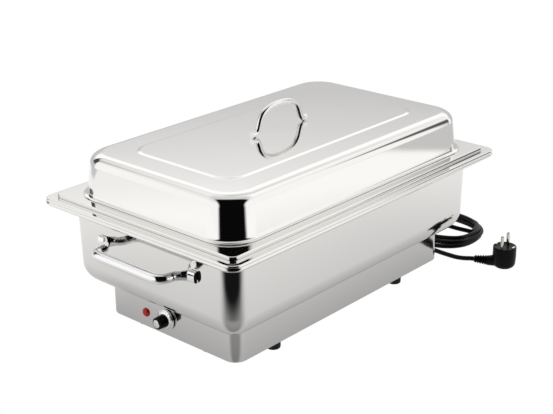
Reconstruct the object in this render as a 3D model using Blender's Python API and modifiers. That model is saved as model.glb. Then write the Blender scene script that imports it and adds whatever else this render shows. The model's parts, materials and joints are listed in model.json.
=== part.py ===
"""Electric buffet server for one gastronorm 1/1 food pan.

A heated base stands on four rubber feet and carries a deep-drawn water tub. The food pan hangs in the
tub by its flange, and the lid stands on that flange. X is the width, Y the length with the controls at
-Y, Z is up, and the origin lies on the table under the middle of the tub. All lengths are in metres.
"""
import math

import bmesh
import bpy
from mathutils import Matrix, Vector

OBJECT_NAME = "electric_buffet_server"

# Driving dimensions
GAP = 0.0003                      # clearance that touching pieces keep
SHEET = 0.0008                    # stainless sheet of the tub, the pan and the lid
LONGER = (0.530 - 0.325) / 2      # how much longer than wide each half outline is
PAN_HALF = 0.1640                 # gastronorm 1/1 flange, nominally 530 x 325 mm, over its turned-down edge
PAN_EDGE = 0.0046                 # height of that edge
PAN_DEPTH = 0.065
RIM_TOP = 0.1853                  # upper face of the tub's flat rim
RIM_HALF, RIM_CORNER = 0.1777, 0.0175
TUB_WALL_HALF = 0.1502            # inner face of the tub's wall at its top
TUB_FLOOR = 0.0591                # inner face of the tub's floor
TUB_FILLET = 0.036
LID_FOOT_HALF = 0.1500
LID_TOP = 0.2470
PANEL_HALF = 0.0908               # embossed panel on the lid
PANEL_RISE = 0.0012
BASE_HALF = 0.1200
BASE_CENTRE_Y = 0.0030
BASE_BOTTOM, BASE_TOP = 0.0130, 0.0580
BASE_CORNER, BASE_SHEET = 0.017, 0.0010
PLATE_Z = BASE_BOTTOM + BASE_SHEET + GAP    # underside of the base plate
PLATE_THICK = 0.0010
FOOT_X, FOOT_Y = 0.1048, 0.1332
KNOB_X, KNOB_Z = -0.0059, 0.0375
LAMP_X, LAMP_Z = -0.0465, 0.0345
HANDLE_Y, HANDLE_Z, HANDLE_RADIUS = 0.2900, 0.1390, 0.0067
GLAND_X, GLAND_Z = 0.0250, 0.0330
CORD_RADIUS = 0.0035
COIL_X, COIL_Y, COIL_Z = 0.0270, 0.3330, 0.0100   # centre of the loose oval coil on the table
COIL_HALF_X, COIL_HALF_Y, COIL_BUNDLE = 0.0880, 0.0610, 0.0095
PLUG_X, PLUG_Y, PLUG_FACE = 0.1984, 0.2842, 0.0345
PLUG_RADIUS = 0.0178
PLUG_TURN = math.radians(24)      # from +X to the side away from the cord
CLIP_TURN = math.radians(5)       # from +X to the line through the earth clips; the pins stand across it
PLUG_REACH = 0.0450               # from the plug's axis to the tip of its strain relief
PLUG_CORD_Z = 0.0080

BASE_FRONT = BASE_CENTRE_Y - BASE_HALF - LONGER
BASE_REAR = BASE_CENTRE_Y + BASE_HALF + LONGER
PAN_TOP = RIM_TOP + GAP + PAN_EDGE
CORNER_STEPS = 5

FINISHES = {                      # base colour, metallic, roughness
    "polished_steel": ((0.80, 0.80, 0.79, 1), 1.0, 0.06),
    "satin_steel": ((0.66, 0.66, 0.64, 1), 1.0, 0.22),
    "zinc_steel": ((0.55, 0.56, 0.58, 1), 1.0, 0.35),
    "chrome": ((0.85, 0.85, 0.85, 1), 1.0, 0.03),
    "aluminium": ((0.78, 0.78, 0.80, 1), 1.0, 0.30),
    "brass": ((0.75, 0.58, 0.28, 1), 1.0, 0.30),
    "copper": ((0.80, 0.45, 0.30, 1), 1.0, 0.30),
    "black_plastic": ((0.015, 0.015, 0.016, 1), 0.0, 0.35),
    "black_rubber": ((0.020, 0.020, 0.021, 1), 0.0, 0.60),
    "red_lens": ((0.55, 0.01, 0.01, 1), 0.0, 0.15),
    "white_ceramic": ((0.80, 0.78, 0.74, 1), 0.0, 0.50),
    "mineral_felt": ((0.62, 0.58, 0.50, 1), 0.0, 0.90),
    "brown_wire": ((0.18, 0.07, 0.03, 1), 0.0, 0.45),
    "blue_wire": ((0.03, 0.10, 0.40, 1), 0.0, 0.45),
    "green_wire": ((0.10, 0.38, 0.06, 1), 0.0, 0.45),
}


# ---------------------------------------------------------------- scene and collections

def clear_scene():
    for obj in list(bpy.data.objects):
        bpy.data.objects.remove(obj, do_unlink=True)


def new_collection(name):
    collection = bpy.data.collections.new(name)
    bpy.context.scene.collection.children.link(collection)
    return collection


clear_scene()
PARTS = new_collection(OBJECT_NAME)
CUTTERS = new_collection("cutters")


def link(obj, collection):
    for owner in list(obj.users_collection):
        owner.objects.unlink(obj)
    collection.objects.link(obj)
    return obj


def finish(obj, name, finish_name, parent):
    """Names a piece, gives it its own material, and hangs it on the empty of its moving group."""
    colour, metallic, roughness = FINISHES[finish_name]
    obj.name = name
    obj.data.name = name
    material = bpy.data.materials.new(name)
    material.use_nodes = True
    shader = material.node_tree.nodes["Principled BSDF"]
    shader.inputs["Base Color"].default_value = colour
    shader.inputs["Metallic"].default_value = metallic
    shader.inputs["Roughness"].default_value = roughness
    obj.data.materials.clear()
    obj.data.materials.append(material)
    link(obj, PARTS)
    obj.parent = parent
    obj.matrix_parent_inverse = parent.matrix_world.inverted()
    if obj.type == "MESH":
        obj.data.shade_smooth()
        obj.data.set_sharp_from_angle(angle=math.radians(40))
    return obj


def group_empty(name, location):
    empty = bpy.data.objects.new(name, None)
    empty.location = location
    empty.empty_display_size = 0.03
    PARTS.objects.link(empty)
    bpy.context.view_layer.update()
    return empty


# ---------------------------------------------------------------- shape tools

def object_from(bm, name):
    mesh = bpy.data.meshes.new(name)
    bm.to_mesh(mesh)
    bm.free()
    return link(bpy.data.objects.new(name, mesh), PARTS)


def rounded_rectangle(half, radius, z, centre_y=0.0, longer=LONGER):
    """One loop of points, anticlockwise from above; the half length is the half width plus longer."""
    points = []
    for quarter in range(4):
        side_x = 1 if quarter in (0, 3) else -1
        side_y = 1 if quarter in (0, 1) else -1
        for step in range(CORNER_STEPS + 1):
            angle = math.radians(90 * (quarter + step / CORNER_STEPS))
            points.append((
                side_x * (half - radius) + radius * math.cos(angle),
                centre_y + side_y * (half + longer - radius) + radius * math.sin(angle),
                z,
            ))
    return points


def loft(name, loops, close_last):
    """A skin over loops of equal length. Its faces look to the right of the way the loops run."""
    bm = bmesh.new()
    rings = [[bm.verts.new(point) for point in loop] for loop in loops]
    for lower, upper in zip(rings, rings[1:]):
        for here, after in zip(range(len(lower)), [*range(1, len(lower)), 0]):
            bm.faces.new((lower[here], lower[after], upper[after], upper[here]))
    if close_last:
        bm.faces.new(rings[-1])
    return object_from(bm, name)


def sheet_part(name, profile, thickness, close_last=True, centre_y=0.0):
    """A pressed sheet: profile holds (half width, corner radius, z), and the sheet lies under the skin."""
    obj = loft(name, [rounded_rectangle(*point, centre_y) for point in profile], close_last)
    solidify = obj.modifiers.new("sheet", "SOLIDIFY")
    solidify.thickness = thickness
    solidify.offset = -1
    solidify.use_even_offset = True
    return obj


def fillet(half, z, radius, start, end, steps, corner, least_corner=0.006):
    """Points of a round stretch, centred on (half, z); each corner radius shrinks with the outline."""
    points = []
    for step in range(steps + 1):
        angle = math.radians(start + (end - start) * step / steps)
        x = half + radius * math.cos(angle)
        shrink = (half + radius - x) * 0.6
        points.append((x, max(corner - shrink, least_corner), z + radius * math.sin(angle)))
    return points


def cylinder(name, radius, depth, centre, axis="Z", sides=16, top_radius=None):
    """A closed cylinder or cone about an axis through its centre; its top is on the axis's plus side."""
    bm = bmesh.new()
    bmesh.ops.create_cone(
        bm, cap_ends=True, segments=sides, radius1=radius,
        radius2=radius if top_radius is None else top_radius, depth=depth,
    )
    turn = {"X": Matrix.Rotation(math.pi / 2, 4, "Y"), "Y": Matrix.Rotation(-math.pi / 2, 4, "X")}
    bmesh.ops.transform(bm, matrix=Matrix.Translation(centre) @ turn.get(axis, Matrix()), verts=bm.verts)
    return object_from(bm, name)


def box(name, size, centre):
    bm = bmesh.new()
    bmesh.ops.create_cube(bm, size=1.0)
    bmesh.ops.transform(bm, matrix=Matrix.Translation(centre) @ Matrix.Diagonal((*size, 1)), verts=bm.verts)
    return object_from(bm, name)


def bevel(obj, width, segments=2, angle=40):
    modifier = obj.modifiers.new("rounded edges", "BEVEL")
    modifier.width = width
    modifier.segments = segments
    modifier.limit_method = "ANGLE"
    modifier.angle_limit = math.radians(angle)
    return obj


def turned(name, profile, centre, axis="Z", sides=20):
    """A turned piece: profile holds (radius, height), down its outer side from top to bottom."""
    bm = bmesh.new()
    verts = [bm.verts.new((radius, 0, height)) for radius, height in profile]
    closed = profile[0][0] > 1e-6
    for first, second in zip(verts, verts[1:] + verts[:1] if closed else verts[1:]):
        bm.edges.new((first, second))
    obj = object_from(bm, name)
    screw = obj.modifiers.new("turned", "SCREW")
    screw.steps = sides
    screw.render_steps = sides
    screw.merge_threshold = 0.00001
    screw.use_merge_vertices = True
    obj.location = centre
    if axis == "Y":
        obj.rotation_euler = (-math.pi / 2, 0, 0)
    if axis == "-Y":
        obj.rotation_euler = (math.pi / 2, 0, 0)
    return obj


def rod(name, points, radius, resolution=2, cyclic=False, taper=None):
    """A round bar, wire or cord along points, turned into a mesh with welded caps."""
    curve = bpy.data.curves.new(name, "CURVE")
    curve.dimensions = "3D"
    curve.bevel_depth = radius
    curve.bevel_resolution = resolution
    curve.use_fill_caps = True
    spline = curve.splines.new("POLY")
    spline.points.add(len(points) - 1)
    for index, point in enumerate(points):
        spline.points[index].co = (*point, 1)
        spline.points[index].radius = taper[index] if taper else 1.0
    spline.use_cyclic_u = cyclic
    guide = link(bpy.data.objects.new(name + "_curve", curve), PARTS)
    bpy.context.view_layer.update()
    mesh = bpy.data.meshes.new_from_object(guide.evaluated_get(bpy.context.evaluated_depsgraph_get()))
    bm = bmesh.new()
    bm.from_mesh(mesh)
    bmesh.ops.remove_doubles(bm, verts=bm.verts, dist=0.00001)
    bm.to_mesh(mesh)
    bm.free()
    obj = link(bpy.data.objects.new(name, mesh), PARTS)
    obj.matrix_world = guide.matrix_world
    bpy.data.objects.remove(guide, do_unlink=True)
    bpy.data.curves.remove(curve)
    return obj


def smooth_path(points, per_span):
    """Points on a Catmull-Rom curve through the given ones."""
    guide = [Vector(point) for point in points]
    ends = [2 * guide[0] - guide[1], *guide, 2 * guide[-1] - guide[-2]]
    path = []
    for before, start, end, after in zip(ends, ends[1:], ends[2:], ends[3:]):
        for step in range(per_span):
            t = step / per_span
            path.append(0.5 * (
                2 * start + (end - before) * t + (2 * before - 5 * start + 4 * end - after) * t ** 2
                + (3 * start - before - 3 * end + after) * t ** 3
            ))
    return [*path, guide[-1]]


def boolean(obj, tool, operation="DIFFERENCE"):
    """Cuts obj with a cutter, or joins a piece to it; the tool moves to the cutters' collection."""
    modifier = obj.modifiers.new(operation.lower(), "BOOLEAN")
    modifier.operation = operation
    modifier.solver = "EXACT"
    modifier.object = tool
    link(tool, CUTTERS)
    tool.hide_render = True
    tool.display_type = "WIRE"
    return obj


def corners_of(x, y):
    return [(-x, -y), (x, -y), (-x, y), (x, y)]


# ---------------------------------------------------------------- moving groups

HOUSING = group_empty("housing", (0, 0, 0))
PAN = group_empty("pan", (0, 0, PAN_TOP))
LID = group_empty("lid", (0, 0, PAN_TOP + GAP))
KNOB = group_empty("knob", (KNOB_X, BASE_FRONT, KNOB_Z))


# ---------------------------------------------------------------- lid

LID_WALL_LOW, LID_WALL_HIGH = 0.1455, 0.1416
LID_SHOULDER = 0.2305
LID_HANDLE_REACH = 0.0500         # from the lid's middle to a handle screw
LID_HANDLE_ROD = 0.0040


def make_lid():
    foot = PAN_TOP + GAP
    shoulder = LID_TOP - LID_SHOULDER
    profile = [
        (LID_FOOT_HALF, 0.046, foot), (LID_FOOT_HALF, 0.046, foot + 0.0008),
        (LID_FOOT_HALF - 0.0018, 0.0455, foot + 0.0017), (LID_WALL_LOW + 0.0013, 0.044, foot + 0.0035),
        (LID_WALL_LOW, 0.043, foot + 0.0080),
        *fillet(LID_WALL_HIGH - shoulder, LID_SHOULDER, shoulder, 0, 90, 6, 0.0415),
        (PANEL_HALF + 0.0022, 0.030, LID_TOP), (PANEL_HALF + 0.0006, 0.0288, LID_TOP + PANEL_RISE * 0.7),
        (PANEL_HALF - 0.0014, 0.028, LID_TOP + PANEL_RISE), (0.0300, 0.004, LID_TOP + PANEL_RISE),
    ]
    shell = sheet_part("lid_shell", profile, SHEET)
    for side in (-1, 1):
        boolean(shell, cylinder(
            "lid_screw_hole", 0.0024, 0.010, (0, side * LID_HANDLE_REACH, LID_TOP), sides=12))
    return finish(shell, "lid_shell", "polished_steel", LID)


def make_lid_handle():
    """A bow along the lid; each end turns outward into a flat foot that a screw holds from inside."""
    top = LID_TOP + PANEL_RISE
    half_bow = [
        (0.0000, 0.0380), (0.0120, 0.0372), (0.0240, 0.0345), (0.0330, 0.0296), (0.0385, 0.0225),
        (0.0415, 0.0150), (0.0440, 0.0085), (0.0475, 0.0052), (0.0560, 0.0047),
    ]
    bow = [(0, -y, top + z) for y, z in reversed(half_bow)] + [(0, y, top + z) for y, z in half_bow[1:]]
    handle = rod("lid_handle", bow, LID_HANDLE_ROD, 2)
    for side in (-1, 1):
        boolean(handle, cylinder(
            "lid_thread_hole", 0.0022, 0.012, (0, side * LID_HANDLE_REACH, top - 0.0028), sides=12))
    finish(handle, "lid_handle", "chrome", LID)
    underside = top - SHEET - GAP
    for number, side in enumerate((-1, 1), 1):
        screw = turned("lid_handle_screw", [
            (0, 0.0041), (0.0018, 0.0041), (0.0018, 0.0), (0.0040, 0.0), (0.0040, -0.0012),
            (0.0026, -0.0024), (0, -0.0024),
        ], (0, side * LID_HANDLE_REACH, underside), sides=12)
        finish(screw, f"lid_handle_screw_{number}", "zinc_steel", LID)


# ---------------------------------------------------------------- food pan

def make_food_pan():
    opening, corner, round_over = 0.1425, 0.046, 0.0030
    flange_corner = 0.0105
    floor, wall_low, lower_fillet = PAN_TOP - PAN_DEPTH, 0.1402, 0.014
    profile = [
        (PAN_HALF, flange_corner, PAN_TOP - PAN_EDGE), (PAN_HALF, flange_corner, PAN_TOP - 0.0016),
        (PAN_HALF - 0.0005, flange_corner, PAN_TOP - 0.0005), (PAN_HALF - 0.0018, flange_corner, PAN_TOP),
        (opening + round_over, corner, PAN_TOP), (opening + 0.0009, corner, PAN_TOP - 0.0009),
        (opening, corner, PAN_TOP - round_over),
        *fillet(wall_low - lower_fillet, floor + lower_fillet, lower_fillet, 0, -90, 3, corner - 0.003),
        (0.0300, 0.008, floor),
    ]
    return finish(sheet_part("food_pan", profile, SHEET), "food_pan", "polished_steel", PAN)


# ---------------------------------------------------------------- water tub and its fixings

RAIL_STUDS = [(0, -0.1800), (0, 0.1800)]
HEATER_STUDS = [(0, -0.0780), (0, 0.0960)]
STUD_RADIUS, STUD_END = 0.0019, 0.0380
RAIL_THICK = 0.0020
RAIL_Z = BASE_TOP - BASE_SHEET - GAP - RAIL_THICK / 2


def make_water_tub():
    wall_low, wall_corner = 0.1485, 0.0260
    outer, inner = RIM_CORNER, RIM_CORNER - 0.0010
    profile = [
        (RIM_HALF - 0.0015, inner, RIM_TOP - 0.0083), (RIM_HALF, outer, RIM_TOP - 0.0067),
        (RIM_HALF, outer, RIM_TOP - 0.0052), (RIM_HALF - 0.0016, inner, RIM_TOP - 0.0040),
        (RIM_HALF - 0.0011, inner, RIM_TOP - 0.0028), (RIM_HALF - 0.0013, inner, RIM_TOP - 0.0015),
        (RIM_HALF - 0.0026, inner - 0.0010, RIM_TOP - 0.0003), (RIM_HALF - 0.0050, inner - 0.0020, RIM_TOP),
        (TUB_WALL_HALF + 0.0033, wall_corner, RIM_TOP),
        (TUB_WALL_HALF + 0.0011, wall_corner, RIM_TOP - 0.0008),
        (TUB_WALL_HALF, wall_corner, RIM_TOP - 0.0035), (TUB_WALL_HALF - 0.0002, wall_corner, 0.1580),
        *fillet(wall_low - TUB_FILLET, TUB_FLOOR + TUB_FILLET, TUB_FILLET, 0, -90, 6, wall_corner),
        (0.0300, 0.004, TUB_FLOOR),
    ]
    tub = sheet_part("water_tub", profile, SHEET)
    stud_top = TUB_FLOOR - 0.0002
    length = stud_top - STUD_END
    for x, y in [*RAIL_STUDS, *HEATER_STUDS]:
        centre = (x, y + BASE_CENTRE_Y, stud_top - length / 2)
        boolean(tub, cylinder("tub_stud", STUD_RADIUS, length, centre, sides=12), "UNION")
    return finish(tub, "water_tub", "polished_steel", HOUSING)


def make_tub_fixings():
    """Two cross rails under the base's top flange pull the tub down on it, each by a nut on a stud."""
    for number, (x, y) in enumerate(RAIL_STUDS, 1):
        centre = (x, y + BASE_CENTRE_Y, RAIL_Z)
        rail = box("tub_rail", (0.2330, 0.0200, RAIL_THICK), centre)
        boolean(rail, cylinder("rail_hole", 0.0024, 0.010, centre, sides=12))
        finish(rail, f"tub_rail_{number}", "zinc_steel", HOUSING)
        nut = turned("tub_nut", [
            (0.0026, 0.0030), (0.0042, 0.0030), (0.0042, 0.0), (0.0026, 0.0),
        ], (x, y + BASE_CENTRE_Y, RAIL_Z - RAIL_THICK / 2 - GAP - 0.0030), sides=6)
        finish(nut, f"tub_nut_{number}", "zinc_steel", HOUSING)


# ---------------------------------------------------------------- base

def make_base_housing():
    edge = 0.0016
    inner_edge = BASE_HALF - 0.0080
    quarter = [math.radians(45 * k) for k in range(3)]
    profile = [
        (inner_edge, BASE_CORNER - 0.008, BASE_BOTTOM),
        *[(BASE_HALF - edge + edge * math.sin(a), BASE_CORNER, BASE_BOTTOM + edge - edge * math.cos(a))
          for a in quarter],
        *[(BASE_HALF - edge + edge * math.cos(a), BASE_CORNER, BASE_TOP - edge + edge * math.sin(a))
          for a in quarter],
        (BASE_HALF - 0.0100, BASE_CORNER - 0.009, BASE_TOP),
    ]
    housing = sheet_part("base_housing", profile, BASE_SHEET, close_last=False, centre_y=BASE_CENTRE_Y)
    front, rear = BASE_FRONT, BASE_REAR
    boolean(housing, cylinder("shaft_hole", 0.0050, 0.006, (KNOB_X, front, KNOB_Z), "Y", 20))
    boolean(housing, cylinder("lamp_hole", 0.0052, 0.006, (LAMP_X, front, LAMP_Z), "Y", 20))
    boolean(housing, cylinder("gland_hole", 0.0083, 0.006, (GLAND_X, rear, GLAND_Z), "Y", 20))
    for x, y in PLATE_SCREWS:
        boolean(housing, cylinder("flange_hole", 0.0019, 0.006, (x, y, BASE_BOTTOM), sides=12))
    return finish(housing, "base_housing", "satin_steel", HOUSING)


PLATE_SCREWS = [(x, BASE_CENTRE_Y + side * (BASE_HALF + LONGER - 0.0045))
                for side in (-1, 1) for x in (-0.0600, 0.0600)]


def make_base_plate():
    half = BASE_HALF - BASE_SHEET - 0.0006
    loops = [rounded_rectangle(half, BASE_CORNER - 0.002, z, BASE_CENTRE_Y)
             for z in (PLATE_Z, PLATE_Z + PLATE_THICK)]
    plate = loft("base_plate", loops, True)
    close_bottom(plate)
    for x, y in PLATE_SCREWS:
        boolean(plate, cylinder("plate_hole", 0.0017, 0.006, (x, y, PLATE_Z), sides=12))
    for x, y in corners_of(FOOT_X, FOOT_Y):
        boolean(plate, cylinder("foot_hole", 0.0024, 0.006, (x, y, PLATE_Z), sides=12))
    for column in range(-2, 3):
        boolean(plate, box("vent", (0.0040, 0.0400, 0.006), (column * 0.0140, BASE_CENTRE_Y, PLATE_Z)))
    finish(plate, "base_plate", "zinc_steel", HOUSING)
    for number, (x, y) in enumerate(PLATE_SCREWS, 1):
        screw = turned("base_plate_screw", [
            (0, 0.0045), (0.0014, 0.0040), (0.0014, -0.0003), (0.0027, -0.0003), (0.0027, -0.0012),
            (0.0018, -0.0021), (0, -0.0021),
        ], (x, y, BASE_BOTTOM), sides=12)
        finish(screw, f"base_plate_screw_{number}", "zinc_steel", HOUSING)


def close_bottom(obj):
    """Fills the first loop of a loft whose loops run upward."""
    bm = bmesh.new()
    bm.from_mesh(obj.data)
    bmesh.ops.holes_fill(bm, edges=[edge for edge in bm.edges if edge.is_boundary])
    bmesh.ops.recalc_face_normals(bm, faces=bm.faces)
    bm.to_mesh(obj.data)
    bm.free()


def make_feet():
    """Rubber feet with a spigot through to the plate, each held by a countersunk screw from below."""
    top = BASE_BOTTOM - GAP
    for number, (x, y) in enumerate(corners_of(FOOT_X, FOOT_Y), 1):
        foot = turned("foot", [
            (0.0024, top + 0.0010), (0.0060, top + 0.0010), (0.0060, top), (0.0100, top), (0.0100, 0.0020),
            (0.0090, 0.0), (0.0050, 0.0), (0.0050, 0.0050), (0.0024, 0.0060),
        ], (x, y, 0), sides=18)
        finish(foot, f"foot_{number}", "black_rubber", HOUSING)
        screw = turned("foot_screw", [
            (0, 0.0200), (0.0019, 0.0200), (0.0019, 0.0056), (0.0045, 0.0046), (0.0045, 0.0034),
            (0.0034, 0.0026), (0, 0.0026),
        ], (x, y, 0), sides=12)
        finish(screw, f"foot_screw_{number}", "zinc_steel", HOUSING)


# ---------------------------------------------------------------- side handles

def make_side_handles():
    """Round bars bent to a bow; their ends turn outward and are pressed flat and welded on the tub's wall."""
    wall = 0.1500 + LONGER + SHEET + GAP
    grip = HANDLE_Y - wall
    half_bow = [                  # along the wall, off the wall, share of the full radius
        (0.0, grip, 1), (0.0250, grip, 1), (0.0480, grip, 1), (0.0555, grip - 0.0016, 1),
        (0.0610, grip - 0.0064, 1), (0.0632, grip - 0.0130, 1), (0.0648, grip - 0.0200, 1),
        (0.0690, 0.0102, 0.98), (0.0725, 0.0080, 0.93), (0.0770, 0.0063, 0.88), (0.0830, 0.0058, 0.86),
        (0.0895, 0.0058, 0.86),
    ]
    foot_start, foot_full, taller, flatter = 0.0700, 0.0780, 0.35, 0.52
    bow = [(-x, off, share) for x, off, share in reversed(half_bow)] + half_bow[1:]
    for name, side in (("handle_front", -1), ("handle_rear", 1)):
        handle = rod(name, [(x, side * (wall + off), HANDLE_Z) for x, off, _ in bow], HANDLE_RADIUS, 3,
                     taper=[share for _, _, share in bow])
        for vertex in handle.data.vertices:
            share = min(max((abs(vertex.co.x) - foot_start) / (foot_full - foot_start), 0.0), 1.0)
            vertex.co.z += (vertex.co.z - HANDLE_Z) * taller * share
            vertex.co.y -= (vertex.co.y - side * wall) * flatter * share
        finish(handle, name, "chrome", HOUSING)


# ---------------------------------------------------------------- controls

KNOB_STANDOFF = 0.0010            # air between the wall and the dial
DIAL_DEPTH, GRIP_LENGTH = 0.0047, 0.0122
THERMOSTAT_DEPTH = 0.0280
THERMOSTAT_Y = BASE_FRONT + BASE_SHEET + GAP + 0.0040 + THERMOSTAT_DEPTH / 2


def make_knob():
    """A round grip with a metal cap on a conical dial; the thermostat's shaft turns with them."""
    dial_back = BASE_FRONT - GAP - KNOB_STANDOFF
    grip_back = dial_back - DIAL_DEPTH - GAP
    skirt = turned("knob_skirt", [
        (0.0042, DIAL_DEPTH), (0.0100, DIAL_DEPTH), (0.0138, 0.0030), (0.0148, 0.0020), (0.0148, 0.0005),
        (0.0142, 0.0), (0.0042, 0.0),
    ], (KNOB_X, dial_back, KNOB_Z), "-Y", 28)
    finish(skirt, "knob_skirt", "polished_steel", KNOB)
    body = turned("knob_body", [
        (0, GRIP_LENGTH), (0.0076, GRIP_LENGTH), (0.0082, GRIP_LENGTH - 0.0005), (0.0092, 0.0004),
        (0.0092, 0.0), (0.0038, 0.0), (0.0038, 0.0088), (0, 0.0088),
    ], (KNOB_X, grip_back, KNOB_Z), "-Y", 28)
    finish(body, "knob_body", "black_plastic", KNOB)
    cap = turned("knob_cap", [
        (0, 0.0012), (0.0050, 0.0012), (0.0056, 0.0007), (0.0056, 0.0), (0, 0.0),
    ], (KNOB_X, grip_back - GRIP_LENGTH - GAP, KNOB_Z), "-Y", 24)
    finish(cap, "knob_cap", "chrome", KNOB)
    shaft_tip, shaft_end = grip_back - 0.0082, BASE_FRONT + 0.0080
    shaft = cylinder("thermostat_shaft", 0.0032, shaft_end - shaft_tip,
                     (KNOB_X, (shaft_tip + shaft_end) / 2, KNOB_Z), "Y", 16)
    finish(shaft, "thermostat_shaft", "zinc_steel", KNOB)


def make_thermostat():
    """A capillary thermostat behind the wall; its bulb lies between the runs of the heating element."""
    bush = turned("thermostat_bush", [
        (0.0036, 0.0), (0.0046, 0.0), (0.0046, -0.0018), (0.0080, -0.0018), (0.0080, -0.0048),
        (0.0036, -0.0048),
    ], (KNOB_X, BASE_FRONT - GAP, KNOB_Z), "-Y", 20)
    finish(bush, "thermostat_bush", "brass", HOUSING)
    body = box("thermostat_body", (0.0320, THERMOSTAT_DEPTH, 0.0220),
               (KNOB_X, THERMOSTAT_Y, KNOB_Z - 0.0030))
    boolean(body, cylinder("shaft_socket", 0.0036, 0.020, (KNOB_X, BASE_FRONT + 0.0093, KNOB_Z), "Y", 16))
    finish(body, "thermostat_body", "zinc_steel", HOUSING)
    bulb_z = SPREADER_Z - SPREADER_THICK / 2 - GAP - BULB_RADIUS
    bulb = rod("capillary_bulb", [(0, -0.0450, bulb_z), (0, 0.0450, bulb_z)], BULB_RADIUS, 2)
    finish(bulb, "capillary_bulb", "copper", HOUSING)
    route = [(0.0050, THERMOSTAT_Y + THERMOSTAT_DEPTH / 2 + GAP, 0.0400), (0.0055, -0.1750, 0.0405),
             (0.0060, -0.1500, 0.0440), (0.0060, -0.1300, 0.0466), (0.0060, -0.1220, 0.0476),
             (0.0060, -0.1120, 0.0506), (0.0060, -0.1030, 0.0525), (0.0060, -0.0850, bulb_z),
             (0.0060, -0.0700, bulb_z), (0.0015, -0.0530, bulb_z), (0, -0.0462, bulb_z)]
    finish(rod("capillary_tube", smooth_path(route, 2), 0.0010, 1), "capillary_tube", "copper", HOUSING)


def make_pilot_lamp():
    lens = turned("pilot_lens", [
        (0, 0.0034), (0.0035, 0.0031), (0.0058, 0.0020), (0.0063, 0.0010), (0.0063, 0.0), (0.0047, 0.0),
        (0.0047, -0.0090), (0, -0.0090),
    ], (LAMP_X, BASE_FRONT - GAP, LAMP_Z), "-Y", 24)
    finish(lens, "pilot_lens", "red_lens", HOUSING)
    holder = turned("pilot_holder", [
        (0, -0.0095), (0.0050, -0.0095), (0.0050, 0.0), (0.0072, 0.0), (0.0072, -0.0100),
        (0.0064, -0.0200), (0, -0.0200),
    ], (LAMP_X, BASE_FRONT + BASE_SHEET + GAP, LAMP_Z), "-Y", 20)
    finish(holder, "pilot_holder", "black_plastic", HOUSING)


# ---------------------------------------------------------------- heater

SPREADER_THICK = 0.0015
SPREADER_Z = TUB_FLOOR - SHEET - GAP - SPREADER_THICK / 2
BULB_RADIUS = 0.0030
ELEMENT_RADIUS = 0.00325
ELEMENT_Z = SPREADER_Z - SPREADER_THICK / 2 - GAP - ELEMENT_RADIUS
ELEMENT_PITCH = 0.0360
ELEMENT_FRONT, ELEMENT_REAR = -0.1050, 0.1150
ELEMENT_DROP = 0.0130             # its ends turn down this far to their terminals
FELT_THICK = 0.0080
CLAMP_THICK = 0.0012


def element_path():
    """Four runs along Y joined by half circles; both ends come forward and turn down to their terminals."""
    bend = ELEMENT_PITCH / 2
    path = [(-1.5 * ELEMENT_PITCH, ELEMENT_FRONT - ahead, ELEMENT_Z - drop)
            for ahead, drop in ((0.0340, ELEMENT_DROP), (0.0325, 0.0060), (0.0270, 0.0015), (0.0200, 0))]
    for gap_number in range(3):
        centre_x = (gap_number - 1) * ELEMENT_PITCH
        way, centre_y = (1, ELEMENT_REAR) if gap_number % 2 == 0 else (-1, ELEMENT_FRONT)
        for step in range(9):
            angle = math.pi * (1 - step / 8)
            path.append((
                centre_x + bend * math.cos(angle), centre_y + way * bend * math.sin(angle), ELEMENT_Z))
    return path + [(-x, y, z) for x, y, z in reversed(path[:4])]


def make_heater():
    """An element under an aluminium spreader, pressed up by a clamp plate through mineral felt."""
    half_y = 0.1500
    felt_front = -0.1020
    spreader = box("heat_spreader", (0.1500, 2 * half_y, SPREADER_THICK), (0, BASE_CENTRE_Y, SPREADER_Z))
    felt_z = ELEMENT_Z - ELEMENT_RADIUS - GAP - FELT_THICK / 2
    felt_y = (felt_front + BASE_CENTRE_Y + half_y) / 2
    felt_length = BASE_CENTRE_Y + half_y - felt_front
    felt = box("insulation_felt", (0.1480, felt_length, FELT_THICK), (0, felt_y, felt_z))
    clamp_z = felt_z - FELT_THICK / 2 - GAP - CLAMP_THICK / 2
    clamp = box("clamp_plate", (0.1520, felt_length + 0.004, CLAMP_THICK), (0, felt_y, clamp_z))
    for piece, name, kind in (
        (spreader, "heat_spreader", "aluminium"), (felt, "insulation_felt", "mineral_felt"),
        (clamp, "clamp_plate", "zinc_steel"),
    ):
        for x, y in HEATER_STUDS:
            boolean(piece, cylinder("stud_hole", 0.0024, 0.040, (x, y + BASE_CENTRE_Y, 0.0500), sides=12))
        finish(piece, name, kind, HOUSING)
    for number, (x, y) in enumerate(HEATER_STUDS, 1):
        nut = turned("heater_nut", [
            (0.0026, 0.0030), (0.0042, 0.0030), (0.0042, 0.0), (0.0026, 0.0),
        ], (x, y + BASE_CENTRE_Y, clamp_z - CLAMP_THICK / 2 - GAP - 0.0030), sides=6)
        finish(nut, f"heater_nut_{number}", "zinc_steel", HOUSING)
    element = rod("heating_element", element_path(), ELEMENT_RADIUS, 2)
    finish(element, "heating_element", "satin_steel", HOUSING)
    cutout = cylinder("thermal_cutout", 0.0075, 0.0080,
                      (0.0360, -0.1270, SPREADER_Z - SPREADER_THICK / 2 - GAP - 0.0040), sides=20)
    finish(cutout, "thermal_cutout", "white_ceramic", HOUSING)


# ---------------------------------------------------------------- wiring

BLOCK_Y, BLOCK_SIZE = 0.1780, (0.0360, 0.0180, 0.0160)
PLATE_TOP = PLATE_Z + PLATE_THICK
EARTH_X, EARTH_Y = 0.0700, 0.1900
WIRE_CLEAR = 0.0008               # from the end of a wire to the face it is joined to


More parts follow.
